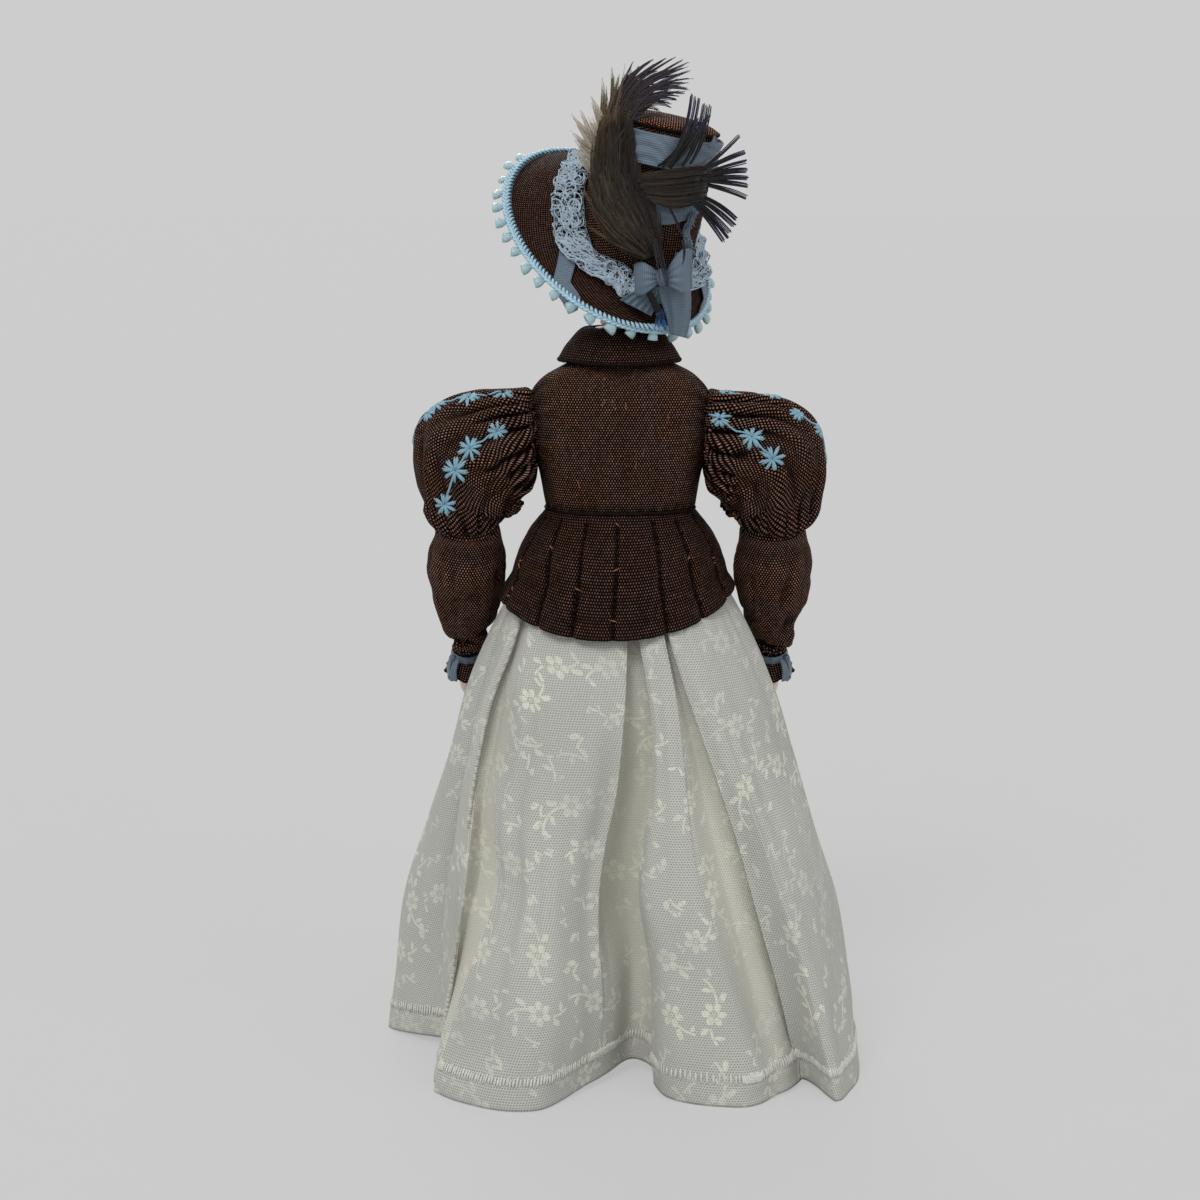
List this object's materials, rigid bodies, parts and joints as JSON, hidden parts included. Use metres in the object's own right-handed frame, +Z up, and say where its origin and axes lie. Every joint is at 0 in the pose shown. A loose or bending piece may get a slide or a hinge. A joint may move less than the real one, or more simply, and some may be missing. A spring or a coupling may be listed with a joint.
{
  "type": "miniature doll",
  "caption": "Dolls' house lady in a puff-sleeved spencer jacket, long gathered skirt and feathered poke bonnet, with turning head and bending limbs.",
  "frame": {"origin": "on the floor under the middle of the skirt's hem, so the box's bottom centre", "axes": "+Z up; the doll faces -Y; +X is her left"},
  "size_m": [0.0806, 0.066, 0.1641],
  "materials": {
    "porcelain": "matte bisque, flesh tint",
    "calico": "plain woven calico",
    "steel_wire": "drawn wire",
    "shot_silk": "brown and black shot taffeta with an orange weft",
    "printed_muslin": "ivory muslin with a white floral print",
    "cotton_lawn": "plain white lawn",
    "blue_ribbon": "ribbed grosgrain, dusty blue",
    "blue_braid": "herringbone braid",
    "aqua_picot": "crochet picot edging",
    "blue_lace": "gathered net lace",
    "mohair": "brown mohair",
    "pale_feather": "downy marabou",
    "dark_feather": "charcoal barbs"
  },
  "bodies": {
    "body": {"torso": "calico", "shoulder_plate": "porcelain", "shoulder_wire": "steel_wire", "bodice": "shot_silk", "collar": "shot_silk", "peplum": "shot_silk", "skirt_waistband": "printed_muslin", "skirt": "printed_muslin", "petticoat": "cotton_lawn"},
    "head": {"neck_peg": "porcelain", "head": "porcelain", "wig": "mohair", "bonnet_brim": "shot_silk", "bonnet_crown": "shot_silk", "bonnet_tip": "shot_silk", "brim_braid": "blue_braid", "picot_trim": "aqua_picot", "lace_ruche": "blue_lace", "crown_ribbon": "blue_ribbon", "chin_ribbon": "blue_ribbon", "bow": "blue_ribbon", "tall_feather": "pale_feather", "side_feather": "dark_feather", "quill": "dark_feather"},
    "left_arm": {"left_upper_arm": "calico", "left_puff_sleeve": "shot_silk"},
    "left_forearm_body": {"left_forearm": "porcelain", "left_lower_sleeve": "shot_silk", "left_cuff_ribbon": "blue_ribbon", "left_cuff_frill": "shot_silk"},
    "left_leg": {"left_thigh": "calico", "left_lower_leg": "porcelain"},
    "right_arm": {"right_upper_arm": "calico", "right_puff_sleeve": "shot_silk"},
    "right_forearm_body": {"right_forearm": "porcelain", "right_lower_sleeve": "shot_silk", "right_cuff_ribbon": "blue_ribbon", "right_cuff_frill": "shot_silk"},
    "right_leg": {"right_thigh": "calico", "right_lower_leg": "porcelain"}
  },
  "joints": [
    {"name": "neck_turn", "type": "hinge", "parent": "body", "child": "head", "pos_m": [0, 0, 0.121], "axis": [0, 0, 1], "range_deg": [-80, 40]},
    {"name": "left_shoulder", "type": "hinge", "parent": "body", "child": "left_arm", "pos_m": [0.015, 0, 0.1045], "axis": [-1, 0, 0], "range_deg": [0, 100]},
    {"name": "left_elbow", "type": "hinge", "parent": "left_arm", "child": "left_forearm_body", "pos_m": [0.025, 0.001, 0.0895], "axis": [-1, 0, 0], "range_deg": [0, 50]},
    {"name": "left_hip", "type": "hinge", "parent": "body", "child": "left_leg", "pos_m": [0.0054, 0, 0.0755], "axis": [-1, 0, 0], "range_deg": [-4, 8]},
    {"name": "right_shoulder", "type": "hinge", "parent": "body", "child": "right_arm", "pos_m": [-0.015, 0, 0.1045], "axis": [-1, 0, 0], "range_deg": [0, 100]},
    {"name": "right_elbow", "type": "hinge", "parent": "right_arm", "child": "right_forearm_body", "pos_m": [-0.025, 0.001, 0.0895], "axis": [-1, 0, 0], "range_deg": [0, 50]},
    {"name": "right_hip", "type": "hinge", "parent": "body", "child": "right_leg", "pos_m": [-0.0054, 0, 0.0755], "axis": [-1, 0, 0], "range_deg": [-4, 8]}
  ]
}
